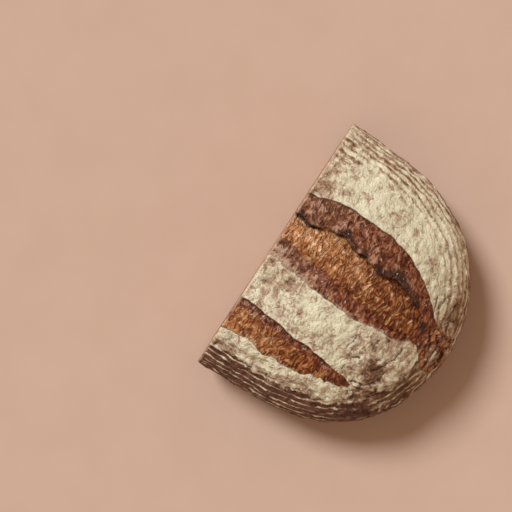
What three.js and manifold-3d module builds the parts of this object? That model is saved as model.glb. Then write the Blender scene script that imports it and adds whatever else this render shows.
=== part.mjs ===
// The heel half of an oval hearth loaf, standing on its base with the cut face to the front.
// The dough is proved in a coiled cane basket, slashed twice along its length and baked on a
// stone, and the loaf is then cut across its middle. Crust and crumb are one baked piece.
// Millimetres, +Z up, the cut face towards -Y and the heel towards +Y.

import * as THREE from "three";
import { mergeVertices } from "three/addons/utils/BufferGeometryUtils.js";
import Module from "manifold-3d";

// Driving dimensions of the smooth loaf.
const loafWidth = 176; // across the belly, which is the length of the cut
const heelLength = 128; // from the cut to the tip of the heel
const bellyHeight = 28; // the widest level, above the stone
const domeHeight = 63; // from the belly to the crown, at the cut
const stoneFlattening = 8.6; // how far the stone pushes up the underside, at the cut

// Fullness of the curves, as the powers of superellipses: 2 is an ellipse, more is squarer.
const leftFullness = 3.1; // the outline seen from above, on the ear's side
const rightFullness = 3.7; // the outline on the second slash's side
const crownFullness = 2.5; // the crown line, falling towards the heel
const keelFullness = 4; // the underside, rising towards the heel
const undersideFullness = 2.5; // the lower corners of a cross-section

// Relief of the two slashes, above or below the smooth loaf.
const skinEdge = 0.9; // the floured skin stands this proud where a slash parted it
const earLift = 2.2; // the lip of the ear
const earDrop = 3.8; // the foot of the torn crumb under the ear
const burstSwell = 1.6; // the middle of the torn crumb
const slashLip = 1.6; // the lip of the second slash
const slashDrop = 2.6; // the foot of the second slash
const earEnd = 0.9; // share of the heel at which the ear has died out
const slashEnd = 0.66; // share of the heel at which the second slash has closed

// Mesh fineness.
const crustColumns = 76; // over the top, from belly to belly
const underColumns = 30; // round the underside
const stations = 36; // from the cut to the tip
const cornerShare = 0.4; // share of the underside's columns that lie in each rounded corner
const cornerGap = 0.02; // radians from a corner's last column to the edge of the flat base
const knifeMargin = 20; // how far the trimming block stands clear of the loaf

// Lines that run from the cut to the tip, in order across the top of the loaf. A run is
// [share of the heel length, share of the half-width] points, and column says which share of
// the crust's columns lies to the left of the line. rise is its relief, and fades where the
// slash it belongs to dies out.
const creases = [
  { column: 0, run: [[0, -1], [1, -1]], rise: 0, end: earEnd },
  { column: 0.22, run: earRun(-0.03), rise: skinEdge, end: earEnd },
  { column: 0.24, run: earRun(0), rise: 0, end: earEnd },
  { column: 0.35, run: lipRun(0), rise: earLift, end: earEnd },
  { column: 0.37, run: lipRun(0.02), rise: -earDrop, end: earEnd },
  { column: 0.45, run: lipRun(0.2), rise: burstSwell, end: earEnd },
  { column: 0.54, run: bandRun(-0.02), rise: -skinEdge, end: earEnd },
  { column: 0.56, run: bandRun(0.02), rise: skinEdge, end: earEnd },
  { column: 0.68, run: slashRun(-0.02), rise: slashLip, end: slashEnd },
  { column: 0.7, run: slashRun(0.01), rise: -slashDrop, end: slashEnd },
  { column: 0.79, run: slashFootRun(), rise: 0, end: slashEnd },
  { column: 1, run: [[0, 1], [1, 1]], rise: 0, end: slashEnd },
];

// The upper edge of the main slash, where the floured skin ends.
function earRun(shift) {
  return moved([[0, -0.375], [0.16, -0.437], [0.33, -0.456], [0.47, -0.447], [0.56, -0.424],
    [0.66, -0.372], [0.76, -0.293], [0.85, -0.2], [1, -0.16]], shift);
}

// The lip of the ear, over the torn crumb.
function lipRun(shift) {
  return moved([[0, -0.235], [0.2, -0.262], [0.35, -0.25], [0.46, -0.218], [0.6, -0.226],
    [0.68, -0.21], [0.76, -0.17], [0.85, -0.12], [1, -0.1]], shift);
}

// The lower edge of the main slash, where the floured band begins.
function bandRun(shift) {
  return moved([[0, 0.076], [0.19, 0.128], [0.46, 0.163], [0.65, 0.15], [0.82, 0.15],
    [1, 0.16]], shift);
}

// The upper edge of the second slash, which is a small lip.
function slashRun(shift) {
  return moved([[0, 0.436], [0.28, 0.47], [0.47, 0.515], [0.56, 0.55], [0.66, 0.59],
    [1, 0.6]], shift);
}

// The lower edge of the second slash, which the first meets as the slash closes.
function slashFootRun() {
  return [[0, 0.666], [0.29, 0.667], [0.38, 0.655], [0.56, 0.64], [0.66, 0.66], [1, 0.7]];
}

function moved(run, shift) {
  return run.map(([along, across]) => [along, across + shift]);
}

// A smooth curve through [position, value] points, as a function of position.
function smoothCurve(points) {
  const curve = new THREE.CubicInterpolant(points.map((p) => p[0]), points.map((p) => p[1]), 1);
  return (position) => curve.evaluate(position)[0];
}

// One on a slash's open stretch, falling to zero at its end.
function openness(along, end) {
  return 1 - THREE.MathUtils.smoothstep(along, end - 0.25, end);
}

// The half-widths, crown and underside of the cross-section at a share of the heel's length.
function sectionAt(along) {
  const fullness = (power) => Math.sqrt(Math.max(0, 1 - along ** power));
  return {
    leftWidth: (loafWidth / 2) * fullness(leftFullness),
    rightWidth: (loafWidth / 2) * fullness(rightFullness),
    crown: domeHeight * fullness(crownFullness),
    keel: (bellyHeight + stoneFlattening) * fullness(keelFullness),
  };
}

const creaseLines = creases.map((crease) => ({ ...crease, across: smoothCurve(crease.run) }));

// A point of the crust over the top: half an ellipse, lifted along its normal by the relief.
// share runs from the left belly to the right one.
function crustPoint(section, along, share) {
  const right = Math.max(1, creaseLines.findIndex((line) => line.column >= share));
  const [from, to] = [creaseLines[right - 1], creaseLines[right]];
  const mix = (share - from.column) / (to.column - from.column);
  const angle = (line) => Math.acos(-THREE.MathUtils.clamp(line.across(along), -1, 1));
  const lift = (line) => line.rise * openness(along, line.end);
  const turn = THREE.MathUtils.lerp(angle(from), angle(to), mix);
  const relief = THREE.MathUtils.lerp(lift(from), lift(to), mix);
  const halfWidth = turn < Math.PI / 2 ? section.leftWidth : section.rightWidth;
  const normal = new THREE.Vector2(
    -Math.cos(turn) / halfWidth,
    Math.sin(turn) / section.crown,
  ).normalize();
  return {
    x: -halfWidth * Math.cos(turn) + relief * normal.x,
    z: bellyHeight + section.crown * Math.sin(turn) + relief * normal.y,
  };
}

// The angle round the underside, from 0 at the right belly to pi at the left one. The columns
// of each rounded corner end just short of the flat base's edge, so that the edge is clean.
function undersideTurn(section, share) {
  const edgeDepth = Math.min(1, bellyHeight / section.keel);
  const corner = Math.asin(edgeDepth ** (undersideFullness / 2)) - cornerGap;
  const fromSide = Math.min(share, 1 - share);
  const flatMix = (fromSide - cornerShare) / (0.5 - cornerShare);
  const nearTurn = fromSide < cornerShare
    ? (corner * fromSide) / cornerShare
    : THREE.MathUtils.lerp(corner, Math.PI / 2, flatMix);
  return share < 0.5 ? nearTurn : Math.PI - nearTurn;
}

// A point of the underside: half a superellipse, from the right belly round to the left one.
function undersidePoint(section, share) {
  const turn = undersideTurn(section, share);
  const halfWidth = turn < Math.PI / 2 ? section.rightWidth : section.leftWidth;
  const squared = (value) => Math.sign(value) * Math.abs(value) ** (2 / undersideFullness);
  return {
    x: halfWidth * squared(Math.cos(turn)),
    z: bellyHeight - section.keel * squared(Math.sin(turn)),
  };
}

// The whole loaf before it is cut: a sphere's grid, with its poles at the tips, whose
// parallels become cross-sections and whose meridians become the lines along the loaf.
function wholeLoaf() {
  const columns = crustColumns + underColumns;
  const grid = new THREE.SphereGeometry(1, columns, 2 * stations);
  const { position, uv } = grid.attributes;
  const crustShare = crustColumns / columns;
  for (let i = 0; i < position.count; i += 1) {
    const along = Math.abs(position.getY(i));
    const around = THREE.MathUtils.clamp(uv.getX(i), 0, 1);
    const section = sectionAt(along);
    const tip = along > 1 - 1e-6;
    const onCrust = around <= crustShare;
    const atTip = { x: 0, z: bellyHeight };
    const crust = () => crustPoint(section, along, around / crustShare);
    const under = () => undersidePoint(section, (around - crustShare) / (1 - crustShare));
    const point = tip ? atTip : onCrust ? crust() : under();
    position.setXYZ(i, point.x, Math.sign(position.getY(i)) * along * heelLength, point.z);
  }
  return grid;
}

// A closed geometry as a manifold-3d solid.
function solidOf(wasm, geometry) {
  const bare = geometry.clone();
  bare.deleteAttribute("normal");
  bare.deleteAttribute("uv");
  const merged = mergeVertices(bare, 1e-4);
  return new wasm.Manifold(new wasm.Mesh({
    numProp: 3,
    vertProperties: merged.attributes.position.array,
    triVerts: new Uint32Array(merged.index.array),
  }));
}

// The space that the stone and the knife leave: above the base plane and behind the cut.
function keptBlock() {
  const width = loafWidth + 2 * knifeMargin;
  const length = heelLength + knifeMargin;
  const height = bellyHeight + domeHeight + knifeMargin;
  return new THREE.BoxGeometry(width, length, height).translate(0, length / 2, height / 2);
}

function halfLoaf(wasm) {
  const solid = solidOf(wasm, wholeLoaf()).intersect(solidOf(wasm, keptBlock()));
  const { vertProperties, triVerts } = solid.getMesh();
  const geometry = new THREE.BufferGeometry();
  geometry.setAttribute("position", new THREE.BufferAttribute(vertProperties, 3));
  geometry.setIndex(new THREE.BufferAttribute(triVerts, 1));
  geometry.computeVertexNormals();
  const crust = new THREE.MeshStandardMaterial({ color: 0xb59a78, roughness: 0.9, metalness: 0 });
  const mesh = new THREE.Mesh(geometry, crust);
  mesh.name = "half_loaf";
  return mesh;
}

const wasm = await Module();
wasm.setup();

// The origin is under the middle of the half loaf, on the surface it stands on.
const loaf = halfLoaf(wasm);
loaf.position.y = -heelLength / 2;
const part = new THREE.Group();
part.add(loaf);

export default part;
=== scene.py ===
import math
import bpy
import numpy as np
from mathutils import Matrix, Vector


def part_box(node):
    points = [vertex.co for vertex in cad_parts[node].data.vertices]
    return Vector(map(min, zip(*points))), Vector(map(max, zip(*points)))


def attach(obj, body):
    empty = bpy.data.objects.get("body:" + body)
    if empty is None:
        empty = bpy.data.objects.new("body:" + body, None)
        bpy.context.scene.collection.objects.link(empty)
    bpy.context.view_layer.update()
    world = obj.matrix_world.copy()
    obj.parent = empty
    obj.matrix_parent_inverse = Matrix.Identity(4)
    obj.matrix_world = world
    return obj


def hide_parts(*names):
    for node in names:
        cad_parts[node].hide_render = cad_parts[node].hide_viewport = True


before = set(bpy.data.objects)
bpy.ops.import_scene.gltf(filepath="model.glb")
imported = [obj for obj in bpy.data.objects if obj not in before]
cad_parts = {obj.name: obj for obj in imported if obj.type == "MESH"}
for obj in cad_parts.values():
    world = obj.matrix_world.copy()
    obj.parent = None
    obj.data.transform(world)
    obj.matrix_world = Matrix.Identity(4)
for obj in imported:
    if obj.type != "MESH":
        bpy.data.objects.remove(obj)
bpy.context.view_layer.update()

# ----------------------------------------------------------------------------------------
# The form. A kilo of sourdough is proved in an oval cane basket, turned out onto a stone
# and baked there, so it is a dome over a flat base, with round lower corners. It is cut
# across the middle, and this is the half with the heel. Lengths here are in millimetres.

MM = 0.001
box_low, box_high = (np.array(corner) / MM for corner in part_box("half_loaf"))
cut_y = box_low[1]
heel_length = box_high[1] - box_low[1]
half_width = (box_high[0] - box_low[0]) / 2
belly_height = 28.0  # the widest level
crown_relief = 1.4  # how far the burst stands above the smooth dome
dome_height = box_high[2] - belly_height - crown_relief
stone_flattening = 8.6  # how far the stone pushes the underside up
keel_depth = belly_height + stone_flattening
base_softness = 1.6  # over which the lower corners run into the flat base
base_trim = 0.09  # what the stone takes off under them, which leaves the base flat

# Fullness of the curves, as the powers of superellipses: 2 is an ellipse, more is squarer.
left_fullness, right_fullness = 3.1, 3.7  # the outline seen from above
crown_fullness, keel_fullness = 2.5, 4.0  # the crown and the underside, along the loaf
corner_fullness = 2.5  # the lower corners of a cross-section

station_count = 144  # cross-sections from the cut to the tip of the heel
station_growth = 0.62  # the last sections lie closer than the first by this
underside_columns = 48
rise_half_way = 0.7  # of the dome's height, and of its width, half way up it


def smoothstep(value, low, high):
    """0 up to low, 1 from high on, and an S between them."""
    share = np.clip((value - low) / (high - low), 0, 1)
    return share * share * (3 - 2 * share)


def mix(first, second, share):
    """The first at a share of 0, the second at 1, and a straight run between them."""
    return first + (second - first) * share


def lattice_noise(points, size, seed):
    """Smooth noise from -1 to 1, with lumps about size apart: random numbers at the corners of
    a cubic lattice, blended by S-curves along the three axes."""
    lattice = np.random.default_rng(seed).uniform(-1, 1, (32, 32, 32))
    scaled = points / size
    corner = np.floor(scaled).astype(int)
    inside = scaled - corner
    inside = inside * inside * (3 - 2 * inside)
    total = np.zeros(points.shape[:-1])
    for step in np.ndindex(2, 2, 2):
        weight = np.prod(np.where(step, inside, 1 - inside), axis=-1)
        index = np.moveaxis((corner + step) % 32, -1, 0)
        total += weight * lattice[tuple(index)]
    return total


def layered_noise(points, size, seed, layers=3):
    """Lattice noise in layers, each half as large and half as strong as the one before."""
    parts = (lattice_noise(points, size / 2**k, seed + k) / 2**k for k in range(layers))
    return sum(parts)


def section_sizes(along, on_right):
    """Half-width, crown and keel of the cross-section at a share of the heel's length. Each is
    its size at the cut times the root of one less the share raised to a fullness."""
    fullness = np.where(on_right, right_fullness, left_fullness)
    width = half_width * np.sqrt(1 - along**fullness)
    crown = dome_height * np.sqrt(1 - along**crown_fullness)
    keel = keel_depth * np.sqrt(1 - along**keel_fullness)
    return width, crown, keel


def lengths_along(points):
    """Running length along a line of points, from 0 at the first."""
    steps = np.linalg.norm(np.diff(points, axis=0), axis=1)
    return np.concatenate([[0], np.cumsum(steps)])


def stations():
    """Shares of the heel's length at which the cross-sections lie: a little closer towards the
    tip, measured along the line that runs half way up the dome."""
    fine = np.sin(np.linspace(0, math.pi / 2, 4001)) ** (2 / left_fullness)
    width, crown, _ = section_sizes(fine, False)
    line = np.stack([width, fine * heel_length, crown]) * [[rise_half_way], [1], [rise_half_way]]
    arc = lengths_along(line.T)
    progress = np.arange(station_count) / station_count
    reach = (1 - station_growth**progress) / (1 - station_growth)
    return np.interp(reach * arc[-1], arc, fine)


along = stations()[:, None]
from_cut = along * heel_length

# ----------------------------------------------------------------------------------------
# The slashes. A blade opens the skin along two lines before the bake. The main cut, held
# flat, lifts an ear and bursts open under it, and the second opens less. Each line below is
# [distance from the cut, share of the half-width] points, on the dome, from left to right.

ear_root_points = [[0, -0.375], [19, -0.447], [38, -0.466], [61, -0.461], [73, -0.438], [85, -0.384],
                   [98, -0.299], [104, -0.24], [109, -0.19], [114, -0.2], [121, -0.29], [128, -0.35]]
ear_lip_points = [[0, -0.25], [11, -0.229], [20, -0.265], [31, -0.282], [46, -0.25], [60, -0.217],
                  [67, -0.229], [72, -0.256], [88, -0.22], [98, -0.154], [105, -0.06], [128, -0.2]]
burst_foot_points = [[0, -0.055], [14, -0.011], [25, 0.002], [49, 0.023], [61, 0.03], [85, 0.088],
                     [98, 0.07], [105, 0.02], [128, 0.1]]
band_start_points = [[0, 0.072], [14, 0.109], [37, 0.143], [61, 0.163], [85, 0.143], [94, 0.129],
                     [101, 0.1], [105, 0.1], [109, 0.17], [114, 0.3], [119, 0.42], [128, 0.48]]
slash_lip_points = [[0, 0.421], [26, 0.446], [49, 0.474], [61, 0.497], [74, 0.546], [84, 0.606],
                    [105, 0.68], [128, 0.7]]
slash_foot_points = [[0, 0.683], [26, 0.671], [38, 0.684], [50, 0.675], [62, 0.646], [74, 0.634],
                     [84, 0.645], [105, 0.74], [128, 0.78]]
rounding = 9.0  # over which the corners of those lines are rounded
outermost = 0.98  # the share that no line passes
arc_steps = 720  # in which the length of a section is summed


def crease(points, raggedness, seed):
    """Turn angle of a line at each station: the points joined, their corners rounded by a
    running mean, and the tear's raggedness added. A share s lies at the angle whose cosine is
    -s, so 0 is the left belly and pi the right one."""
    distances, shares = np.transpose(points)
    fine = np.arange(-rounding, heel_length + rounding, 0.5)
    window = np.hanning(2 * int(rounding) + 1)
    joined = np.interp(fine, distances, shares)
    rounded = np.convolve(np.pad(joined, int(rounding), "edge"), window / window.sum(), "valid")
    share = np.interp(from_cut, fine, rounded)
    seats = np.concatenate([from_cut, from_cut * 0, from_cut * 0], axis=1)
    torn = layered_noise(seats, 7.0, seed)[:, None] * raggedness / half_width
    return np.arccos(-np.clip(share + torn, -outermost, outermost))


ear_root = crease(ear_root_points, 0.8, 11)
ear_lip = crease(ear_lip_points, 1.0, 21)
burst_foot = crease(burst_foot_points, 1.5, 31)
band_start = crease(band_start_points, 0.9, 41)
slash_lip = crease(slash_lip_points, 0.7, 51)
slash_foot = crease(slash_foot_points, 1.5, 61)


def ellipse_lengths(width, height, turns):
    """Length along an ellipse to each of some even turn angles: the running sum of its speed."""
    speed = np.hypot(width * np.sin(turns), height * np.cos(turns))
    steps = (speed[..., 1:] + speed[..., :-1]) / 2 * (turns[1] - turns[0])
    return np.concatenate([0 * speed[..., :1], np.cumsum(steps, axis=-1)], axis=-1)


def arc_table():
    """Length along each station's smooth section, from the left belly to even turn angles."""
    turns = np.linspace(0, math.pi, arc_steps + 1)
    width, crown, _ = section_sizes(along, turns > math.pi / 2)
    return ellipse_lengths(width, crown, turns)


arcs = arc_table()


def arc_at(turn):
    """Length along each station's section from the left belly to a turn angle."""
    place = np.clip(turn / math.pi, 0, 1) * arc_steps
    before = np.minimum(place.astype(int), arc_steps - 1)
    low = np.take_along_axis(arcs, before, axis=1)
    high = np.take_along_axis(arcs, before + 1, axis=1)
    return mix(low, high, place - before)


def beside(line, offset):
    """A line moved along the sections by an offset."""
    width, crown, _ = section_sizes(along, line > math.pi / 2)
    return line + offset / np.hypot(width * np.sin(line), crown * np.cos(line))


ear_wall, slash_wall, step_width = 1.6, 1.3, 0.4  # along the section, where the relief drops

# The mesh's columns over the top, from belly to belly, are spread evenly between these.
guides = [
    (0, ear_root * 0),
    (112, beside(ear_root, -step_width)), (115, beside(ear_root, step_width)),
    (137, ear_lip), (143, beside(ear_lip, ear_wall)),
    (177, burst_foot),
    (197, beside(band_start, -step_width)), (200, beside(band_start, step_width)),
    (250, slash_lip), (255, beside(slash_lip, slash_wall)),
    (291, beside(slash_foot, -step_width)), (294, beside(slash_foot, step_width)),
    (372, ear_root * 0 + math.pi),
]


def column_turns():
    """Turn angles of the grid over the top: straight runs between the guides."""
    spans = zip(guides[:-1], guides[1:])
    parts = [mix(a, b, np.arange(n - m)[None, :] / (n - m)) for (m, a), (n, b) in spans]
    return np.concatenate(parts + [guides[-1][1]], axis=1)


turn = column_turns()
top_columns = turn.shape[1]
arc = arc_at(turn)
to_ear_root = arc - arc_at(ear_root)
to_ear_lip = arc - arc_at(ear_lip)
to_burst_foot = arc - arc_at(burst_foot)
to_band_start = arc - arc_at(band_start)
to_slash_lip = arc - arc_at(slash_lip)
to_slash_foot = arc - arc_at(slash_foot)

ear_end, slash_end, burst_end, strip_end = 106.0, 84.0, 99.0, 110.0  # distances from the cut
ear_open = 1 - smoothstep(from_cut, ear_end - 24, ear_end)
slash_open = 1 - smoothstep(from_cut, slash_end - 26, slash_end)


def unit(vectors):
    """Vectors of the same directions, with a length of 1."""
    return vectors / np.linalg.norm(vectors, axis=-1, keepdims=True)


def smooth_top():
    """The dome without relief, its outward normals, and the directions across it. A section
    is half an ellipse; the normal is the gradient of the formula that the dome's points obey."""
    on_right = turn > math.pi / 2
    width, crown, _ = section_sizes(along, on_right)
    x, z = -width * np.cos(turn), belly_height + crown * np.sin(turn)
    points = np.stack([x, cut_y + from_cut + 0 * x, z], axis=-1)
    fullness = np.where(on_right, right_fullness, left_fullness)
    side_slope = fullness * along ** (fullness - 1) * np.cos(turn) ** 2 / (1 - along**fullness)
    crown_slope = (crown_fullness * along ** (crown_fullness - 1) * np.sin(turn) ** 2
                   / (1 - along**crown_fullness))
    gradient = np.stack([-2 * np.cos(turn) / width, (side_slope + crown_slope) / heel_length,
                         2 * np.sin(turn) / crown], axis=-1)
    across = np.stack([width * np.sin(turn), 0 * x, crown * np.cos(turn)], axis=-1)
    return points, unit(gradient), unit(across)


top, top_normal, top_across = smooth_top()
top_x, top_z = top[..., 0], top[..., 2]

# ----------------------------------------------------------------------------------------
# The crust's relief: the skin curls up where the blade parted it, the ear overhangs the
# torn crumb of the burst, and the basket's cane leaves round grooves with thin ridges.

skin_edge = 0.9  # how far the skin curls up beside the main slash
strip_level, lower_strip_level = -0.5, -0.9  # of the bare strips above and below the burst
ear_lift, ear_drop, ear_overhang = 1.5, 4.2, 1.0  # its lip up, its wall down, its lean
burst_swell, burst_level = 1.9, -0.3
fibre_height, fibre_lumps = 0.85, 0.75  # of the torn crumb
slash_lift, slash_drop, slash_overhang, foot_lift = 1.6, 3.0, 0.5, 0.7
ring_pitch, ring_depth = 5.6, 0.5
band_dip = 2.6  # the floured band sags beside the burst near the cut
band_end_step = 1.5  # down from the end of the band to the heel
pucker_depth, fold_height, fine_fold_height, puff_height = 0.7, 0.45, 0.4, 1.1  # of the skin
clump_height = 1.4
swell, swell_size = 0.7, 31.0  # of the whole crust, which is nowhere a perfect dome
crack_depth, crack_width = 1.0, 0.8

# Cracks where the heel's skin stretched, as [distance from the cut, distance across] points.
cracks = [
    [[69, 29], [70, 21]],
    [[74, 42], [75, 34], [79, 30]],
    [[82, 24], [83.5, 16]],
    [[98, 13], [97, 21], [94.5, 28], [90, 33]],
    [[112, 18], [111, 27], [108, 33], [103, 44], [97, 50]],
    [[84, 46], [95, 41], [97.5, 31]],
    [[85, 53], [87, 57]],
    [[88, 51], [90, 55]],
    [[99, 42], [102, 46]],
    [[113, -6], [118, 2], [117, 12]],
    [[124, -12], [123, 3], [120, 14], [122, 19]],
    [[106, -8], [111, -3], [110, 4]],
    [[105, -19], [103.5, -25], [106, -30]],
    [[113, -17], [113.5, -23], [113, -28]],
    [[113, -15], [118, -19]],
    [[101, -20], [100, -26]],
]

# Blistered, scorched clumps along the ear's lip: distance from the cut, across, and radius.
clumps = [[3, -22.5, 2.0], [29, -24.5, 2.6], [32, -26.5, 3.2], [40, -22, 2.0], [47, -21, 3.2],
          [57, -19.5, 2.4], [66, -20.5, 2.4], [71, -22.5, 4.4], [77, -20, 2.8], [90, -14.5, 2.2],
          [101, -6, 2.6]]

# Where the floured band between the slashes ends: distance from the cut at places across.
band_end_across = [4, 8, 13, 25, 33, 38, 44, 47, 50]
band_end_reach = [104.5, 108, 109.5, 110.5, 109, 106.5, 99, 86, 80]
to_band_end = np.interp(top_x, band_end_across, band_end_reach) - from_cut


def cane_rings():
    """Number of cane turns below each point: its height up the side, measured along an ellipse
    like the cut's, over the pitch of the cane. The dough wanders a little off the cane."""
    lift = np.linspace(0, math.pi / 2, 400)
    climb = ellipse_lengths(half_width, dome_height, lift)
    height = np.interp(top_z, belly_height + dome_height * np.sin(lift), climb)
    wander = 0.16 * lattice_noise(top, 22.0, 71) + 0.13 * lattice_noise(top, 6.0, 73)
    return height / ring_pitch + wander


# From 0 at the belly, below which the skin never touched the floured basket, to 1 above it.
above_belly = smoothstep(top_z + 4 * lattice_noise(top, 9.0, 78), 30, 39)
above_belly *= smoothstep(top_z, 28, 31)


def ring_strength():
    """How plainly the rings show, from 0 to 1: fading up the dome, towards the belly, on the
    end of the band, on the flour beside the second slash, and low on the heel."""
    shown = 1 - smoothstep(top_z + 3 * lattice_noise(top, 18.0, 72), 62, 76)
    shown *= above_belly
    on_band = smoothstep(to_band_start, 0, 3) * smoothstep(-to_slash_lip, -2, 2)
    shown *= 1 - 0.85 * on_band * smoothstep(to_band_end, -1, 6)
    beside_slash = (to_slash_lip > 0) * (1 - smoothstep(to_slash_foot, 11, 19))
    shown *= 1 - beside_slash * (1 - smoothstep(from_cut, 80, 96))
    return shown * (1 - 0.55 * smoothstep(from_cut, 82, 98) * smoothstep(top_x, 40, 54))


rings = cane_rings()
ringed = ring_strength()


def least(*distances):
    """The smallest of some distances at each point."""
    return np.minimum.reduce(np.broadcast_arrays(*distances))


# Signed distances into the bare slashes, the torn crumb and the floured skin.
in_main_slash = least(to_ear_root, -to_band_start)
in_side_slash = least(to_slash_lip, -to_slash_foot, slash_end - from_cut)
in_burst = least(to_ear_lip - 0.4, -to_burst_foot, burst_end - from_cut)
in_side_burst = least(to_slash_lip - 6.5, 0.5 - to_slash_foot, slash_end - 8 - from_cut)
in_torn_heel = least(in_main_slash - 0.5, from_cut - strip_end)
in_torn = np.maximum(np.maximum(in_burst, in_side_burst), in_torn_heel)
in_skin = -np.maximum(in_main_slash, in_side_slash)


def distance_to_cracks():
    """Distance of each point, seen from above, to the nearest crack. Each crack is a chain of
    straight pieces, and the points are shifted by noise first, which makes it ragged."""
    shift = 1.3 * np.stack([lattice_noise(top, 4.0, 75), lattice_noise(top, 4.0, 76)], axis=-1)
    seat = np.stack(np.broadcast_arrays(from_cut, top_x), axis=-1)[..., None, :] + shift[..., None, :]
    starts = np.array([point for crack in cracks for point in crack[:-1]], float)
    ends = np.array([point for crack in cracks for point in crack[1:]], float)
    run = ends - starts
    reach = np.clip(((seat - starts) * run).sum(-1) / (run**2).sum(-1), 0, 1)
    return np.linalg.norm(seat - starts - reach[..., None] * run, axis=-1).min(axis=-1)


def bell(distance, width):
    """1 at a place, and falling away on both sides of it as a bell curve."""
    return np.exp(-((distance / width) ** 2))


def fading(distance, reach):
    """1 up to a line, and smaller by a factor of e for each reach beyond it."""
    return np.exp(-np.maximum(distance, 0) / reach)


def clump_strength():
    """1 in the middle of a clump and fading as a bell curve."""
    places, across, radii = np.transpose(clumps)
    off_middle = np.hypot(from_cut[..., None] - places, top_x[..., None] - across)
    return bell(off_middle, radii).max(axis=-1)


to_crack = distance_to_cracks()
clumped = clump_strength()


def torn_fibres():
    """Lumps and curled fibres of torn crumb, drawn out across the slash: ridges where layered
    noise passes zero, over rounder lumps."""
    drawn = top * [0.55, 1.0, 0.55]
    ridges = 1 - 2.2 * np.abs(layered_noise(drawn, 3.8, 81, 2))
    lumps = layered_noise(drawn, 7.5, 85)
    return fibre_height * ridges + fibre_lumps * lumps


def slash_ripples():
    """Fine folds of the skin inside the slashes, which run across them."""
    return layered_noise(top * [0.4, 1.0, 0.4], 3.4, 91, 2)


def main_slash_relief():
    """Height inside the main slash. It climbs from the root of the ear to its lip as a square,
    falls down the wall, and then the burst swells from its foot as an arch."""
    climb = np.clip(to_ear_root / (to_ear_root - to_ear_lip), 0, 1)
    strip = strip_level + (ear_lift - strip_level) * climb**2 * ear_open
    width = to_ear_lip - to_burst_foot
    reach = np.clip(to_ear_lip / width, 0, 1)
    burst = -ear_drop * (1 - reach) ** 2 + burst_swell * np.sin(math.pi * reach) + burst_level
    burst = mix(lower_strip_level, burst, ear_open) + torn_fibres() * smoothstep(in_burst, -1, 2)
    lower = lower_strip_level + 0.5 * slash_ripples()
    inside = mix(strip + 0.5 * slash_ripples(), burst, smoothstep(to_ear_lip, 0, ear_wall))
    inside = mix(inside, lower, smoothstep(to_burst_foot, -0.9, 0.9)) + clump_height * clumped
    heel = strip_level + torn_fibres()
    return mix(inside, heel, smoothstep(from_cut, strip_end - 6, strip_end + 4))


def second_slash_relief():
    """Height inside the second slash: lowest under its lip, and rising to its foot."""
    fall = -slash_drop * fading(to_slash_lip, 6) + strip_level
    return (fall + 0.8 * torn_fibres() * smoothstep(in_side_burst, -3, 2)) * slash_open


def skin_relief():
    """Height of the floured skin: edges that curl up beside the slashes, the dip and the end
    of the band, the cane's rings as grooves with sharp ridges between them, and folds,
    puckers and puffs made of noise."""
    curl = fading(-to_ear_root, 5) * (to_ear_root < step_width)
    curl += fading(to_band_start, 6) * (to_band_start > -step_width)
    curl *= skin_edge * smoothstep(ear_end + 10 - from_cut, 0, 20)
    lip = slash_lift * fading(-to_slash_lip, 6) * (to_slash_lip < slash_wall)
    foot = foot_lift * fading(to_slash_foot, 5) * (to_slash_foot > -step_width)
    dip = -band_dip * bell(top_x - 24, 9) * (1 - smoothstep(from_cut, 12, 48))
    past_end = smoothstep(-to_band_end, 0, 2.2) * fading(-to_band_end, 9)
    end = -band_end_step * past_end * smoothstep(to_band_start, 0, 4) * smoothstep(52 - top_x, 0, 6)
    grooves = -ring_depth * ringed * (np.abs(np.cos(math.pi * rings)) - 0.4)
    puckers = -pucker_depth * fading(np.abs(layered_noise(top, 8.0, 101, 2)), 0.16)
    folds = fold_height * layered_noise(top, 9.0, 103) + fine_fold_height * layered_noise(top, 3.8, 105)
    beside_slash = smoothstep(to_slash_foot, 0, 3) * (1 - smoothstep(to_slash_foot, 15, 21))
    puffs = puff_height * (1 - 2 * np.abs(layered_noise(top, 5.0, 107, 2))) * beside_slash
    return curl + (lip + foot) * slash_open + dip + end + grooves + folds + puckers + puffs


def past_edge(distance):
    """0 before a parted edge of the skin, and 1 past it."""
    return smoothstep(distance, -step_width, step_width)


def overhang(to_lip, wall):
    """Share of a lip's overhang: it leans over the slash, and back again below the wall."""
    return mix(fading(-to_lip, 3), -0.8 * fading(to_lip, 4), smoothstep(to_lip, 0, wall))


def crust_relief():
    """Height of the whole crust above the smooth dome, and how far it slides across."""
    in_main = past_edge(to_ear_root) * (1 - past_edge(to_band_start))
    in_second_slash = smoothstep(to_slash_lip, 0, slash_wall) * slash_open
    in_second_slash *= 1 - past_edge(to_slash_foot)
    height = mix(skin_relief(), main_slash_relief(), in_main)
    height = mix(height, second_slash_relief(), in_second_slash)
    height += swell * lattice_noise(top, swell_size, 111) - crack_depth * bell(to_crack, crack_width)
    slide = overhang(to_ear_lip, ear_wall) * ear_overhang * ear_open
    slide += overhang(to_slash_lip, slash_wall) * slash_overhang * slash_open
    return height, slide


relief, slide = crust_relief()
top_points = top + relief[..., None] * top_normal + slide[..., None] * top_across


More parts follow.
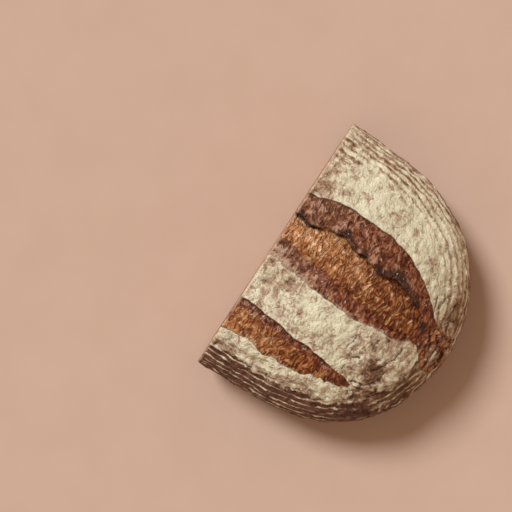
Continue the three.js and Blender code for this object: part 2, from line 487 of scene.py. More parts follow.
def underside():
    """The rounded lower corners and the flat base, from the right belly round to the left one:
    half a superellipse, pressed flat by a soft lower limit at the base."""
    share = np.arange(1, underside_columns)[None, :] / underside_columns
    round_turn = math.pi * share
    on_right = round_turn < math.pi / 2
    width, _, keel = section_sizes(along, on_right)
    power = 2 / corner_fullness
    cosine, sine = np.cos(round_turn), np.sin(round_turn)
    x = width * np.sign(cosine) * np.abs(cosine) ** power
    hanging = belly_height - keel * sine**power
    z = (hanging + np.hypot(hanging, base_softness)) / 2
    y = cut_y + from_cut + 0 * x
    points = np.stack([x, y, z], axis=-1)
    bumps = 0.5 * layered_noise(points, 16.0, 121) * smoothstep(z, 0.5, 6)
    sideways = unit(np.stack([x, 0 * x + 10 * along, 0 * x], axis=-1))
    points = points + bumps[..., None] * sideways
    fade = smoothstep(share, 0, 0.08) * smoothstep(1 - share, 0, 0.08)
    right, left = top_points[:, -1:] - top[:, -1:], top_points[:, :1] - top[:, :1]
    carried = mix(right, left, smoothstep(share, 0.3, 0.7)[..., None])
    points = points + carried * (1 - fade)[..., None]
    points[..., 2] = np.maximum(points[..., 2] - base_trim, 0)
    return points


under_points = underside()
crust_points = np.concatenate([top_points, under_points], axis=1)
column_count = crust_points.shape[1]
tip_point = np.array([[0, box_high[1], belly_height]])

# ----------------------------------------------------------------------------------------
# The cut. The knife leaves a flat face of crumb inside a thin rind of crust. Its holes are
# gas bubbles of the dough, mostly 1 to 3 mm, with a few larger ones, drawn out along the
# crust near it. The face's grid has four sides, and is stitched to the crust's own columns.

face_inset = 0.5  # the knife's edge takes this much off the rind
face_across, face_up = 230, 140  # cells
left_corner, right_corner = 42, 138  # degrees of turn at which the face's upper corners lie
base_level = 1.2  # below which the rim is the face's lower side
knife_marks = 0.2  # the most that the knife left the face uneven
rind_thickness = 3.4
hole_count, large_hole_count = 420, 18
hole_depth = 1.9


def loop_shares(loop):
    """Each point's share of the length of a closed line, and a last 1."""
    lengths = lengths_along(np.concatenate([loop, loop[:1]]))
    return lengths / lengths[-1]


def along_loop(loop, shares):
    """Points at given shares of the length of a closed line."""
    closed = np.concatenate([loop, loop[:1]])
    lengths = lengths_along(closed)
    return np.stack([np.interp(shares * lengths[-1], lengths, axis) for axis in closed.T], axis=1)


rim = crust_points[0][:, [0, 2]]
centre = np.array([0, 0.45 * rim[:, 1].max()])


def face_edge():
    """The face's outline, as many even steps on each of its four sides as the grid has cells:
    the left side up, the top to the right, the right side down and the base to the left."""
    inward = unit(centre - rim)
    inset = rim + face_inset * inward
    shares = loop_shares(inset)[:-1]
    turned = np.degrees(turn[0])
    top_left = shares[np.searchsorted(turned, left_corner)]
    top_right = shares[np.searchsorted(turned, right_corner)]
    base = np.flatnonzero((inset[:, 1] < base_level) & (np.arange(len(inset)) >= top_columns))
    base_right, base_left = shares[base[0]], shares[base[-1]]
    corners = [(base_left, 1 + top_left, face_up), (top_left, top_right, face_across),
               (top_right, base_right, face_up), (base_right, base_left, face_across)]
    parts = [np.linspace(a, b, n, endpoint=False) for a, b, n in corners]
    steps = np.concatenate(parts) % 1
    return along_loop(inset, steps), steps


def face_grid(edge):
    """A four-sided patch between its edges: the blend of opposite edges both ways, less the
    blend of the four corners."""
    up = np.linspace(0, 1, face_up + 1)[:, None, None]
    right = np.linspace(0, 1, face_across + 1)[None, :, None]
    loop = np.concatenate([edge, edge[:1]])
    n, m = face_up, face_across
    left_side, top_side = loop[: n + 1], loop[n : n + m + 1]
    right_side, base_side = loop[n + m : 2 * n + m + 1][::-1], loop[2 * n + m :][::-1]
    sides = mix(left_side[:, None], right_side[:, None], right)
    ends = mix(base_side[None, :], top_side[None, :], up)
    base_corners = mix(base_side[0], base_side[-1], right)
    top_corners = mix(top_side[0], top_side[-1], right)
    return sides + ends - mix(base_corners, top_corners, up)


edge_line, edge_shares = face_edge()
face_flat = face_grid(edge_line)


def distance_inside(points):
    """Distance from each point of the face to the nearest point of the rim."""
    fine_rim = along_loop(rim, np.linspace(0, 1, 700, endpoint=False))
    offsets = points.reshape(-1, 1, 2) - fine_rim[None]
    return np.sqrt((offsets**2).sum(axis=-1).min(axis=1)).reshape(points.shape[:-1])


face_depth = distance_inside(face_flat)
face_seats = np.concatenate([face_flat, 0 * face_flat[..., :1]], axis=-1)  # where noise is read


def crumb_holes():
    """How deep each point lies in a hole, from 0 at its edge to 1 at its middle: the largest
    over all holes of one less the squared distance in the hole's own ellipse. The holes turn
    to follow the nearest crust, and their edges are uneven."""
    rng = np.random.default_rng(131)
    count = hole_count + large_hole_count
    around = rng.uniform(0, 1, count)
    outward = np.sqrt(rng.uniform(0, 1, count)) * 0.96
    seats = centre + (along_loop(rim, around) - centre) * outward[:, None]
    ahead = along_loop(rim, (around + 0.01) % 1) - along_loop(rim, around)
    lean = np.arctan2(ahead[:, 1], ahead[:, 0]) + rng.normal(0, 0.5, count)
    size = np.exp(rng.normal(-0.3, 0.3, count))
    size[hole_count:] = rng.uniform(1.4, 2.3, large_hole_count)
    stretch = 1 + rng.uniform(0.1, 0.9, count) * (0.4 + outward)
    wobble = np.stack([lattice_noise(face_seats, 2.6, seed) for seed in (141, 142)], axis=-1)
    places = (face_flat + 0.55 * wobble).reshape(-1, 1, 2) - seats[None]
    cosine, sine = np.cos(lean), np.sin(lean)
    long = (places[..., 0] * cosine + places[..., 1] * sine) / (size * stretch)
    short = (places[..., 1] * cosine - places[..., 0] * sine) / size
    inside = (1 - long**2 - short**2).max(axis=1).reshape(face_depth.shape)
    in_crumb = smoothstep(face_depth, rind_thickness - 0.6, rind_thickness + 1.0)
    return np.maximum(inside, -1) * in_crumb - (1 - in_crumb)


holes = crumb_holes()


def face_points():
    """The face in its place: a little uneven from the knife, and sunk where the holes are."""
    sunk = hole_depth * np.sqrt(np.clip(holes, 0, 1))
    rough = 0.16 * layered_noise(face_seats, 2.4, 151) + 0.25 * lattice_noise(face_seats, 30.0, 155)
    rough *= smoothstep(face_depth, 0.4, 2.0)
    y = cut_y + np.maximum(rough, -knife_marks) + knife_marks + sunk
    return np.stack([face_flat[..., 0], y, face_flat[..., 1]], axis=-1)


cut_points = face_points()

# ----------------------------------------------------------------------------------------
# The mesh. Crust and crumb are one closed surface, as they are one baked piece. What a point is made
# of, and where shade and highlight are painted on it, is kept on it as numbers, which the crust and
# crumb finishes read.


def grid_faces(index):
    """Quads of a grid of vertex numbers."""
    return np.stack([index[:-1, :-1], index[:-1, 1:], index[1:, 1:], index[1:, :-1]], axis=-1)


def stitch(outer, outer_shares, inner, inner_shares):
    """Triangles between two closed lines of vertices. Each step of either line is joined to
    the last vertex of the other line that its end has passed."""
    outer_ends, inner_ends = outer_shares[1:], inner_shares[1:]
    n, m = len(outer), len(inner)
    passed_inner = np.searchsorted(inner_shares, outer_ends, "left") - 1
    passed_outer = np.searchsorted(outer_shares, inner_ends, "right") - 1
    i, j = np.arange(n), np.arange(m)
    from_outer = np.stack([outer[i], inner[passed_inner % m], outer[(i + 1) % n]], axis=1)
    from_inner = np.stack([outer[passed_outer % n], inner[j], inner[(j + 1) % m]], axis=1)
    return np.concatenate([from_outer, from_inner])


crust_size = station_count * column_count
crust_index = np.arange(crust_size).reshape(station_count, column_count)
tip_index = crust_size
face_index = crust_size + 1 + np.arange(cut_points[..., 0].size).reshape(cut_points.shape[:2])

wrapped = np.concatenate([crust_index, crust_index[:, :1]], axis=1)
crust_quads = grid_faces(wrapped).reshape(-1, 4)
tip_fan = np.stack([wrapped[-1, :-1], wrapped[-1, 1:], np.full(column_count, tip_index)], axis=1)
face_quads = grid_faces(face_index).reshape(-1, 4)

face_loop = np.concatenate([face_index[:-1, 0], face_index[-1, :-1],
                            face_index[:0:-1, -1], face_index[0, :0:-1]])
start = int(np.argmin(edge_shares))
inner_loop = np.roll(face_loop, -start)
inner_shares = np.append(np.roll(edge_shares, -start), 1.0)
inner_shares[0] = 0.0
seam = stitch(crust_index[0], loop_shares(rim), inner_loop, inner_shares)


def closed_mesh(name, points, polygons):
    """A mesh from an array of points and a list of arrays of polygons, wound outwards."""
    corners = np.concatenate([group.reshape(-1) for group in polygons])
    sizes = np.concatenate([np.full(len(group), group.shape[1]) for group in polygons])
    mesh = bpy.data.meshes.new(name)
    mesh.vertices.add(len(points))
    mesh.vertices.foreach_set("co", (points * MM).astype(np.float32).reshape(-1))
    mesh.loops.add(len(corners))
    mesh.loops.foreach_set("vertex_index", corners.astype(np.int32))
    mesh.polygons.add(len(sizes))
    starts = np.concatenate([[0], np.cumsum(sizes)[:-1]])
    mesh.polygons.foreach_set("loop_start", starts.astype(np.int32))
    mesh.polygons.foreach_set("use_smooth", np.ones(len(sizes), bool))
    mesh.update(calc_edges=True)
    mesh.validate()
    return mesh


all_points = np.concatenate([crust_points.reshape(-1, 3), tip_point, cut_points.reshape(-1, 3)])
polygons = [crust_quads, tip_fan, seam, face_quads]
half_loaf_mesh = closed_mesh("baked_half_loaf", all_points, polygons)
half_loaf = bpy.data.objects.new("baked_half_loaf", half_loaf_mesh)
bpy.context.scene.collection.objects.link(half_loaf)


def keep_on_points(name, over_top, underneath, on_face):
    """Stores one number for each point of the mesh, for its finish to read: over the top, on
    the underside and the tip of the heel, and on the cut face."""
    under = np.full((station_count, underside_columns - 1), underneath)
    whole = np.concatenate([over_top + 0 * turn, under], axis=1)
    parts = [whole.reshape(-1), [underneath], (on_face + 0 * face_depth).reshape(-1)]
    numbers = half_loaf_mesh.attributes.new(name, "FLOAT", "POINT")
    numbers.data.foreach_set("value", np.concatenate(parts).astype(np.float32))


# In the functions below, amounts run from 0 to 1, and the numbers beside from_cut and top_x
# are places in millimetres. top_x is below 0 on the ear's side of the middle line.


def flour_dusting():
    """How thickly flour lies on the skin, from 0 to 1. It is thick on the crown, where the dough
    pressed on the basket's floor, thinner on the sides and near the cut, and thinnest low on
    the right, and it has fallen off in patches."""
    left = mix(1.04, 0.74, smoothstep(-top_x + 6 * lattice_noise(top, 16.0, 161), 58, 78))
    near_cut = 1 - smoothstep(from_cut + 0.3 * top_x, -20, 10)
    left = mix(left, 0.42, near_cut * smoothstep(-top_x, 76, 60))
    left = mix(left, 0.6, smoothstep(from_cut, 98, 114))
    band = mix(0.73, 0.98, smoothstep(from_cut, 22, 42))
    band = mix(band, 0.76, smoothstep(from_cut, 66, 80))
    band = mix(band, 0.86, 1 - smoothstep(to_band_end, 4, 12))
    band = band - 0.7 * bell(np.hypot(from_cut - 91, top_x - 33), 6)
    lower = mix(0.9, 0.3, smoothstep(to_slash_foot, 13, 21))
    lower = mix(lower, 0.12, smoothstep(from_cut, 82, 98) * smoothstep(top_x, 44, 56))
    past_band = mix(0.42, 0.34, smoothstep(top_x, 10, 40))
    right = np.where(to_slash_lip < 0, band, lower)
    right = mix(right, past_band, smoothstep(-to_band_end, 0, 3) * smoothstep(top_x, -5, 5)
                * (1 - smoothstep(top_x, 46, 52)))
    dust = np.where(to_ear_root < 4, left, right)
    worn = 0.16 * layered_noise(top, 13.0, 165, 2) * smoothstep(np.abs(dust - 0.6), 0.5, 0.2)
    streaks = layered_noise(top * [1.4, 0.6, 1.4], 8.0, 168, 2) * (1 - smoothstep(from_cut, 8, 34))
    dust = dust + worn + 0.18 * streaks
    return mix(0.15, dust, above_belly)


def flour_flecks():
    """How thickly flour lies where the crust is bare: it has fallen in over the lower edges of
    the slashes, and onto the torn heel."""
    spill = mix(7.5, 2.0, smoothstep(from_cut, 10, 60))
    over_band_edge = fading(np.abs(to_band_start), spill) * (to_band_start < 1)
    over_band_edge *= mix(0.6, 0.42, smoothstep(from_cut, 8, 34))
    over_foot = 0.36 * fading(np.abs(to_slash_foot), 2) * (to_slash_lip > 0)
    heel = mix(0.28, 0.66, smoothstep(layered_noise(top, 6.0, 167, 2), 0.05, 0.7))
    heel = heel * smoothstep(from_cut, strip_end - 6, strip_end + 6) * (to_band_start < 1)
    return np.maximum(np.maximum(over_band_edge, over_foot), heel)


def lip_char_and_shadow():
    """How dark the crust is made along the ear's lip, from 0 to 1: a line along the lip that is partly
    scorch and partly painted shadow under the overhanging lip, widest and unbroken near the cut and in
    broken stretches further on, a darker band on the strip just above the lip, and the scorched clumps
    on it."""
    broken = smoothstep(lattice_noise(top, 5.0, 171), -0.5, 0.4)
    broken = np.maximum(broken, 1 - smoothstep(from_cut, 12, 22)) * ear_open
    reach = mix(2.1, 1.2, smoothstep(from_cut, 12, 28))
    # The line under the lip is partly scorch and partly painted shadow under the overhanging lip,
    # widest near the cut.
    line = bell(to_ear_lip + 0.8 - reach, reach) * broken
    line *= mix(0.95, 0.8, smoothstep(from_cut, 12, 28))
    above = 0.8 * bell(to_ear_lip + 1.6, 2.6) * broken
    above = above * smoothstep(from_cut, 16, 30) * (to_ear_lip < 0.5)
    return np.maximum(np.maximum(line, above), 1.15 * clumped)


def edge_char_and_shadow_strength():
    """How dark the skin's parted edges are made, from 0 to 1, partly as scorch and partly as painted
    shadow in the step under the edges: most on the ear's root and the second slash's lip, and not round
    the heel."""
    upper = (to_ear_root < 2) | (np.abs(to_slash_lip) < 2)
    return np.where(upper, 1.0, 0.25) * (1 - smoothstep(from_cut, 100, 112))


def skin_colouring():
    """How dark the oven baked the skin, from 0, golden brown on the left, to 1, purple-brown
    low on the right."""
    low_right = smoothstep(to_slash_foot, 2, 12) * (to_slash_lip > 0)
    colouring = np.maximum(low_right, 0.6 * smoothstep(from_cut, 70, 95) * smoothstep(top_x, 15, 35))
    return mix(0.7, colouring, above_belly)


def browning():
    """How dark the oven baked the bare crust, from 0 near the cut to 1 at the heel and along
    the edges of the bursts."""
    lengthwise = mix(0.0, 0.75, smoothstep(from_cut, 8, 60)) + 0.2 * smoothstep(from_cut, 70, 105)
    sideways = 0.35 * smoothstep(top_x, 20, 45) + 0.35 * fading(np.abs(to_burst_foot), 3)
    return lengthwise + sideways + 0.25 * layered_noise(top, 11.0, 175, 2)


far = 20.0  # stands for a distance that is out of reach
kept_numbers = {
    "skin": (in_skin, far, far),
    "torn": (in_torn, -far, -far),
    "dusting": (flour_dusting(), 0.15, 0.3),
    "flecks": (flour_flecks(), 0.1, 0.0),
    "rings": (rings, 0.0, 0.0),
    "ringed": (ringed, 0.0, 0.0),
    # char along the ear's lip, with painted shadow under the lip
    "char_and_shadow_at_lip": (lip_char_and_shadow(), 0.0, 0.0),
    # dark lines on the parted edges, partly scorch and partly painted shadow under them
    "edge_char_and_shadow": (edge_char_and_shadow_strength(), 0.0, 0.0),
    "browning": (browning(), 0.5, 0.5),
    "skin_colouring": (skin_colouring(), 0.7, 0.5),
    "crack": (to_crack, far, far),
    # a pale line along the cut's edge, partly bared crust and partly a painted highlight
    "cut_edge_bared_and_lit": (1 - smoothstep(from_cut, 0, 1.5), 0.0, 1.0),
    "inside_rind": (0.0, 0.0, face_depth),
    "hole": (-1.0, -1.0, holes),
}
for name, numbers in kept_numbers.items():
    keep_on_points(name, *numbers)

# ----------------------------------------------------------------------------------------
# The finishes. The crust is toffee-brown skin under rice flour, with purple-brown glassy
# strips where the blade's cut dried, and orange-brown torn crumb in the bursts. The cut
# face is paler crumb with small pores, inside a dark rind.


def is_socket(value):
    """Whether a value is a node's output, and not a plain number or colour."""
    return isinstance(value, bpy.types.NodeSocket)


def add_node(kind, *inputs, tree=None, output=0, **settings):
    """Adds a shader node to the tree that its inputs come from, sets them in their order to
    values or links, and gives back one of its outputs. None leaves an input as it is."""
    tree = tree or next(value.id_data for value in inputs if is_socket(value))
    made = tree.nodes.new(kind)
    for name, value in settings.items():
        setattr(made, name, value)
    for socket, value in zip(made.inputs, inputs):
        if is_socket(value):
            tree.links.new(value, socket)
        elif value is not None:
            socket.default_value = value
    return made.outputs[output]


def math_node(operation, *values):
    """One step of arithmetic on numbers."""
    return add_node("ShaderNodeMath", *values, operation=operation)


def times(first, second):
    """One number times another."""
    return math_node("MULTIPLY", first, second)


def plus(first, second, gain):
    """First, and second's distance from its middle value of a half, times gain."""
    return math_node("MULTIPLY_ADD", math_node("SUBTRACT", second, 0.5), gain, first)


def ramp_up(value, low, high):
    """0 up to low, 1 from high on, and an S between them."""
    return add_node("ShaderNodeMapRange", value, low, high, 0.0, 1.0, interpolation_type="SMOOTHSTEP")


def blend_numbers(share, first, second):
    """The first number at a share of 0, the second at 1, and a run between them."""
    return add_node("ShaderNodeMix", share, None, first, second)


def blend_colours(share, first, second):
    """The first colour at a share of 0, the second at 1, and a run between them."""
    first, second = ((*c, 1) if isinstance(c, tuple) else c for c in (first, second))
    return add_node("ShaderNodeMix", share, *[None] * 5, first, second, output=2, data_type="RGBA")


def colour_steps(share, *steps):
    """A run of colours, each at its place from 0 to 1."""
    colour = add_node("ShaderNodeValToRGB", share)
    ramp = colour.node.color_ramp
    while len(ramp.elements) < len(steps):
        ramp.elements.new(1.0)
    for element, (place, tone) in zip(ramp.elements, steps):
        element.position, element.color = place, (*tone, 1)
    return colour


def scaled(colour, gain):
    """A colour made lighter or darker by a number."""
    return add_node("ShaderNodeVectorMath", colour, None, None, gain, operation="SCALE")


def tinted(colour, tint):
    """A colour times another."""
    return add_node("ShaderNodeVectorMath", colour, tint, operation="MULTIPLY")


def kept(where, name):
    """The number that is kept on the mesh's points under a name."""
    return add_node("ShaderNodeAttribute", tree=where.id_data, attribute_name=name, output="Fac")


def stretched(where, across, lengthwise, up):
    """Coordinates with a pattern drawn out along an axis where its number is below 1."""
    return add_node("ShaderNodeMapping", where, None, None, (across, lengthwise, up))


def spread_noise(where, size, detail=3.0, roughness=0.6, distortion=0.0, output=0):
    """Noise from 0 to 1 with lumps about size millimetres apart."""
    return add_node("ShaderNodeTexNoise", where, None, 1000 / size, detail, roughness, 2.0,
                    None, None, distortion, output=output)


def bent(where, size, detail, roughness, reach):
    """Coordinates shifted every way, within a reach, by noise with lumps about size apart."""
    shift = spread_noise(where, size, detail, roughness, output="Color")
    return add_node("ShaderNodeVectorMath", shift, (reach * MM,) * 3, where, operation="MULTIPLY_ADD")


def gaps(noise, width):
    """0 along the winding lines where noise passes its middle, and 1 away from them."""
    return ramp_up(math_node("ABSOLUTE", math_node("SUBTRACT", noise, 0.5)), 0.0, width)


def cell_distance(where, size):
    """Distance to the middle of the nearest of a scatter of cells about size apart, in sizes."""
    return add_node("ShaderNodeTexVoronoi", where, None, 1000 / size)


def spots(where, size, inner, outer):
    """1 in the middle of a scatter of spots about size apart, and 0 outside them."""
    return math_node("SUBTRACT", 1.0, ramp_up(cell_distance(where, size), inner, outer))


def join(value, socket):
    """Links a node's output to an input."""
    value.id_data.links.new(value, socket)


def bumped(surface, height, depth):
    """Joins a bump of a given depth, in millimetres, to a surface."""
    bump = height.id_data.nodes.new("ShaderNodeBump")
    bump.inputs["Strength"].default_value = 1.0
    bump.inputs["Distance"].default_value = depth * MM
    join(height, bump.inputs["Height"])
    join(bump.outputs[0], surface.inputs["Normal"])


def new_finish(name):
    """A material, its Principled surface, and the coordinates where its patterns are read."""
    material = bpy.data.materials.new(name)
    material.use_nodes = True
    where = add_node("ShaderNodeTexCoord", tree=material.node_tree, output="Object")
    return material, material.node_tree.nodes["Principled BSDF"], where


def cane_marks(where, patches, low_right):
    """How flour gathers on the cane's marks: broadly on the left, and in thin, broken lines
    low on the right."""
    off_groove = math_node("PINGPONG", kept(where, "rings"), 0.5)
    broad = math_node("SUBTRACT", 0.25, off_groove)
    thin = math_node("MULTIPLY_ADD", ramp_up(off_groove, 0.0, 0.3), -0.68, 0.33)
    thin = plus(thin, spread_noise(stretched(where, 0.5, 0.5, 1.0), 7.0, 3.0), 1.2)
    gain = times(kept(where, "ringed"), ramp_up(patches, 0.2, 0.55))
    return times(blend_numbers(low_right, broad, thin), gain)


def floured_skin(where, shifted, fine, mottle, patches, low_right, on_ring):
    """The dust on the skin, which is rubbed out of its creases and thinned between its puffs as painted
    shade in the gaps, the colour of the bare skin in the grooves and patches between the flour, and the
    skin's height."""
    puffs = cell_distance(stretched(shifted, 0.7, 1.0, 0.7), 5.5)
    puff_relief_and_shade = blend_numbers(low_right, -0.42, -0.65)
    creases = gaps(spread_noise(where, 9.0, 3.0, 0.6, 0.8), 0.06)
    dust = math_node("MULTIPLY_ADD", on_ring, 1.8, kept(where, "dusting"))
    dust = math_node("MULTIPLY_ADD", math_node("SUBTRACT", creases, 1.0), 0.22, dust)
    # Flour is thinned between the puffs, which paints shade in the gaps between them.
    dust = plus(plus(dust, patches, 0.8), puffs, puff_relief_and_shade)
    golden = colour_steps(mottle, (0.3, (0.12, 0.05, 0.02)), (0.5, (0.25, 0.13, 0.06)),
                          (0.72, (0.42, 0.25, 0.14)))
    brown = colour_steps(mottle, (0.3, (0.05, 0.016, 0.008)), (0.5, (0.135, 0.052, 0.029)),
                         (0.72, (0.27, 0.125, 0.077)))
    height = math_node("MULTIPLY_ADD", mottle, 0.8, times(fine, 0.35))
    height = math_node("MULTIPLY_ADD", creases, 0.1, height)
    height = math_node("MULTIPLY_ADD", puffs, puff_relief_and_shade, height)
    return dust, blend_colours(low_right, golden, brown), height


def dried_strip(where, shifted, mottle, patches, browned):
    """Colour and height of the dried strips beside the bursts, wrinkled and blistered: a mottled brown
    that runs dark in the wrinkles' hollows and pale on their crests, as painted shade and highlight,
    with blisters painted paler as highlights.
    """
    wrinkles = spread_noise(stretched(where, 0.55, 1.0, 0.55), 2.6, 3.0, 0.6, 1.0)
    # The strip's colour follows its wrinkles, dark in their hollows and pale on their crests: painted
    # shade and highlight over its own mottled brown.
    strip = colour_steps(plus(wrinkles, mottle, 0.6), (0.32, (0.045, 0.007, 0.003)),
                         (0.5, (0.20, 0.052, 0.018)), (0.66, (0.46, 0.22, 0.14)))
    strip = tinted(strip, blend_colours(browned, (1.16, 1.46, 1.6), (0.96, 0.78, 0.58)))
    blisters_and_highlights = times(spots(shifted, 4.5, 0.13, 0.27), ramp_up(patches, 0.42, 0.54))
    # The blisters are painted paler: painted highlights on their gloss, over their real bump.
    strip = blend_colours(times(blisters_and_highlights, 0.75), strip, (0.62, 0.39, 0.30))
    return strip, math_node("MULTIPLY_ADD", blisters_and_highlights, 0.4, wrinkles)


def torn_crumb(where, mottle, browned):
    """Colour and height of the torn crumb: fibres drawn out across the slash. Its colour runs dark to
    light with the fibres' height, as painted shade in the hollows and painted highlight on the crests,
    and the gaps between the curls are painted dark as shade."""
    drawn = stretched(where, 0.5, 1.0, 0.5)
    curls = gaps(spread_noise(drawn, 6.0, 2.0, 0.5, 1.2), 0.08)
    fibres = spread_noise(drawn, 2.5, 4.0, 0.62, 0.9)
    # The crumb's colour follows the fibres' height: painted shade in the hollows and painted highlight
    # on the crests.
    crumb = colour_steps(plus(fibres, mottle, 0.8), (0.32, (0.17, 0.038, 0.008)),
                         (0.46, (0.39, 0.125, 0.035)), (0.57, (0.56, 0.24, 0.09)),
                         (0.72, (0.92, 0.54, 0.31)))
    # The gaps between the curls are painted dark, as the shade in them.
    gap_shade_strength = math_node("MULTIPLY_ADD", browned, 0.7, 0.26)
    painted_gap_shade = times(math_node("SUBTRACT", 1.0, curls), gap_shade_strength)
    crumb = blend_colours(painted_gap_shade, crumb, (0.11, 0.02, 0.004))
    crumb = tinted(crumb, blend_colours(browned, (1.34, 1.55, 1.85), (0.9, 0.78, 0.58)))
    return crumb, plus(times(fibres, 1.35), curls, 0.36)


def with_lip_char_and_shadow(where, shifted, mottle, bare):
    """Where the lip of the ear is darkened, partly by char and partly by painted shadow under the lip,
    and the bare crust's colour with that dark on it and with pale glints, which are painted highlights,
    on the char."""
    char_and_shadow = ramp_up(plus(kept(where, "char_and_shadow_at_lip"), mottle, 0.9), 0.3, 0.8)
    # Char and painted shadow along the lip darken the bare crust.
    bare = blend_colours(times(char_and_shadow, 0.88), bare, (0.038, 0.011, 0.007))
    # Pale specks on the char are painted highlights.
    painted_glints = times(spots(shifted, 3.0, 0.1, 0.22), char_and_shadow)
    return char_and_shadow, blend_colours(times(painted_glints, 0.8), bare, (0.60, 0.48, 0.45))


def dusted(crust, dust, fine, patches):
    """The crust's colour under flour, which veils it at first and then is white."""
    white = colour_steps(blend_numbers(0.5, fine, patches), (0.3, (0.63, 0.54, 0.355)),
                         (0.5, (0.79, 0.70, 0.49)), (0.7, (0.96, 0.87, 0.64)))
    veiled = blend_colours(0.62, crust, (0.63, 0.42, 0.29))
    crust = blend_colours(ramp_up(dust, 0.2, 0.55), crust, veiled)
    return blend_colours(ramp_up(dust, 0.5, 0.95), crust, white)


def char_and_shadow_lines(where, fine, mottle, skin):
    """Where the skin's parted edges and its cracks are drawn dark, in thin, broken lines: along the
    edges this is partly scorch and partly painted shadow in the step under them.
    """
    off_edge = math_node("ABSOLUTE", plus(skin, mottle, 1.6))
    edge = math_node("SUBTRACT", ramp_up(plus(0.5, mottle, 2.4), 0.25, 0.7),
                     ramp_up(off_edge, 0.08, 0.6))
    edge = times(edge, kept(where, "edge_char_and_shadow"))
    off_crack = plus(kept(where, "crack"), fine, 1.6)
    crack = math_node("SUBTRACT", 1.0, ramp_up(off_crack, 0.1, 0.6))
    line = times(math_node("MAXIMUM", edge, crack), 0.8)
    return math_node("MAXIMUM", line, 0.0)


def crust_finish():
    """Floured skin, dried strips and torn crumb, each where the kept numbers say."""
    material, surface, where = new_finish("baked_crust")
    fine = spread_noise(where, 1.7, 4.0, 0.65)
    mottle = spread_noise(where, 4.5, 4.0, 0.65)
    patches = spread_noise(where, 14.0, 2.0)
    shifted = bent(where, 7.0, 3.0, 0.6, 6.0)
    skin, torn, browned = (kept(where, name) for name in ("skin", "torn", "browning"))
    low_right = kept(where, "skin_colouring")
    is_skin = ramp_up(plus(skin, mottle, 1.6), -0.25, 0.3)
    is_torn = ramp_up(plus(plus(torn, mottle, 5.0), patches, 4.0), -0.7, 0.7)

    on_ring = cane_marks(where, patches, low_right)
    dust, brown, skin_height = floured_skin(where, shifted, fine, mottle, patches, low_right, on_ring)
    flecks = math_node("MULTIPLY_ADD", on_ring, 1.2, kept(where, "flecks"))
    dust = blend_numbers(is_skin, flecks, dust)
    dust = plus(plus(dust, mottle, 1.3), fine, 0.95)

    strip, strip_height = dried_strip(where, shifted, mottle, patches, browned)
    crumb, crumb_height = torn_crumb(where, mottle, browned)
    char_and_shadow, bare = with_lip_char_and_shadow(where, shifted, mottle, blend_colours(is_torn, strip, crumb))
    colour = dusted(blend_colours(is_skin, bare, brown), dust, fine, patches)
    line = char_and_shadow_lines(where, fine, mottle, skin)
    # Dark lines on the parted edges, partly scorch and partly painted shadow under them, and on the
    # cracks.
    colour = blend_colours(line, colour, (0.07, 0.024, 0.01))

    # A pale line along the cut's edge: partly the paler inside of the crust that the knife bares, and
    # partly a painted highlight on the lit edge.
    bared_and_lit = times(kept(where, "cut_edge_bared_and_lit"), 0.7)
    join(blend_colours(bared_and_lit, colour, (0.78, 0.47, 0.32)), surface.inputs["Base Color"])

    # Strips and clumps have a baked gloss, and flour is matt.
    roughness = blend_numbers(is_torn, 0.38, 0.68)
    roughness = blend_numbers(char_and_shadow, roughness, 0.33)
    roughness = blend_numbers(is_skin, roughness, 0.6)
    roughness = blend_numbers(ramp_up(dust, 0.2, 0.95), roughness, 0.95)
    join(roughness, surface.inputs["Roughness"])
    surface.inputs["Specular IOR Level"].default_value = 0.27

    height = blend_numbers(is_torn, strip_height, crumb_height)
    height = blend_numbers(is_skin, height, skin_height)
    bumped(surface, math_node("MULTIPLY_ADD", line, -0.4, height), 2.0)
    return material


def crumb_finish():
    """Crumb with pores and the larger holes, inside the rind. The pores and holes are painted dark, as
    painted shade inside them.
    """
    material, surface, where = new_finish("crumb")
    depth, hole = kept(where, "inside_rind"), kept(where, "hole")
    grain = spread_noise(where, 0.9, 4.0, 0.65)
    lumps = spread_noise(where, 3.4, 3.0)

    # Small pores, drawn out flat in the middle and upright beside the sides, painted dark as the shade
    # inside them.
    shifted = bent(where, 3.0, 2.0, 0.5, 2.2)
    off_middle = math_node("ABSOLUTE", add_node("ShaderNodeSeparateXYZ", shifted))
    upright = ramp_up(off_middle, 52 * MM, 74 * MM)
    flat_cells = cell_distance(stretched(shifted, 0.5, 1.0, 1.0), 2.0)
    tall_cells = cell_distance(stretched(shifted, 1.0, 1.0, 0.5), 2.0)
    cells = blend_numbers(upright, flat_cells, tall_cells)
    pore = math_node("SUBTRACT", 1.0, ramp_up(plus(cells, lumps, -0.9), 0.16, 0.42))

    tone = blend_numbers(0.4, grain, lumps)
    crumb = colour_steps(tone, (0.34, (0.33, 0.175, 0.07)), (0.46, (0.50, 0.30, 0.14)),
                         (0.56, (0.62, 0.41, 0.21)), (0.7, (0.80, 0.57, 0.33)))
    # The pores are painted dark: painted shade inside them.
    crumb = blend_colours(times(pore, 0.8), crumb, (0.13, 0.048, 0.014))
    in_hole = ramp_up(plus(hole, grain, 0.7), -0.05, 0.5)
    # The larger holes are painted darker still: painted shade inside them.
    crumb = blend_colours(times(in_hole, 0.9), crumb, (0.06, 0.022, 0.008))
    rind = colour_steps(tone, (0.35, (0.10, 0.028, 0.009)), (0.5, (0.32, 0.12, 0.042)),
                        (0.66, (0.52, 0.24, 0.10)))
    rind = scaled(rind, ramp_up(depth, -1.2, 1.6))
    inside = ramp_up(plus(depth, lumps, 4.0), rind_thickness - 1.8, rind_thickness + 0.8)
    join(blend_colours(inside, rind, crumb), surface.inputs["Base Color"])
    join(blend_numbers(inside, 0.75, 0.93), surface.inputs["Roughness"])
    surface.inputs["Specular IOR Level"].default_value = 0.3
    sunk = math_node("MAXIMUM", pore, in_hole)
    bumped(surface, math_node("MULTIPLY_ADD", sunk, -0.6, tone), 1.2)
    return material


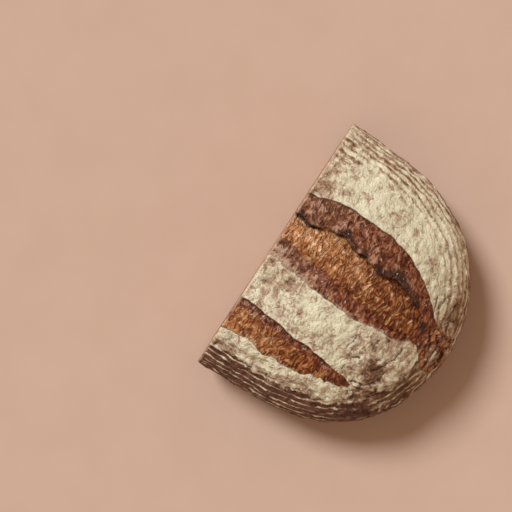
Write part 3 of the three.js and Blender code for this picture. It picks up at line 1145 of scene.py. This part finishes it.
half_loaf_mesh.materials.append(crust_finish())
half_loaf_mesh.materials.append(crumb_finish())
crust_polygons = len(crust_quads) + len(tip_fan)
finish_of = np.repeat([0, 1], [crust_polygons, len(half_loaf_mesh.polygons) - crust_polygons])
half_loaf_mesh.polygons.foreach_set("material_index", finish_of.astype(np.int32))

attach(half_loaf, "root")
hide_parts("half_loaf")

# ----------------------------------------------------------------------------------------
# The table, which is no part of the loaf: a plain pale surface, under one broad soft lamp
# in a bright, warm room.

floor_mesh = bpy.data.meshes.new("floor")
floor_mesh.from_pydata([(-4, -4, 0), (4, -4, 0), (4, 4, 0), (-4, 4, 0)], [], [(0, 1, 2, 3)])
floor = bpy.data.objects.new("floor", floor_mesh)
bpy.context.scene.collection.objects.link(floor)


def floor_finish():
    """A matt surface whose colour hardly varies."""
    material, surface, where = new_finish("pale_table")
    cloud = spread_noise(where, 40.0, 2.0)
    colour = colour_steps(cloud, (0.3, (0.60, 0.392, 0.292)), (0.7, (0.62, 0.408, 0.306)))
    join(colour, surface.inputs["Base Color"])
    surface.inputs["Roughness"].default_value = 0.9
    surface.inputs["Specular IOR Level"].default_value = 0.2
    return material


floor_mesh.materials.append(floor_finish())

lamp_heading = np.array([-0.24, -0.97])  # where the light comes from, seen from above
lamp_height = math.radians(50)
lamp = bpy.data.objects.new("lamp", bpy.data.lights.new("lamp", "SUN"))
lamp.data.energy = 2.95
lamp.data.angle = math.radians(18)
lamp.data.color = (0.82, 0.925, 1.0)
lamp.rotation_euler = (math.pi / 2 - lamp_height, 0, math.atan2(lamp_heading[0], -lamp_heading[1]))
bpy.context.scene.collection.objects.link(lamp)

room = bpy.data.worlds.new("room")
room.use_nodes = True
room.node_tree.nodes["Background"].inputs["Color"].default_value = (0.43, 0.333, 0.253, 1)
room.node_tree.nodes["Background"].inputs["Strength"].default_value = 1.0
bpy.context.scene.world = room
bpy.context.scene.view_settings.view_transform = "Standard"

# ----------------------------------------------------------------------------------------
# The camera looks straight down on the loaf, from a metre above it, with the heel to the
# lower right.

camera = bpy.data.objects.new("camera", bpy.data.cameras.new("camera"))
camera.data.lens = 109.5
camera.location = (0.0138, -0.0695, 1.0)
camera.rotation_euler = (0, 0, math.radians(123.2))
bpy.context.scene.collection.objects.link(camera)
bpy.context.scene.camera = camera
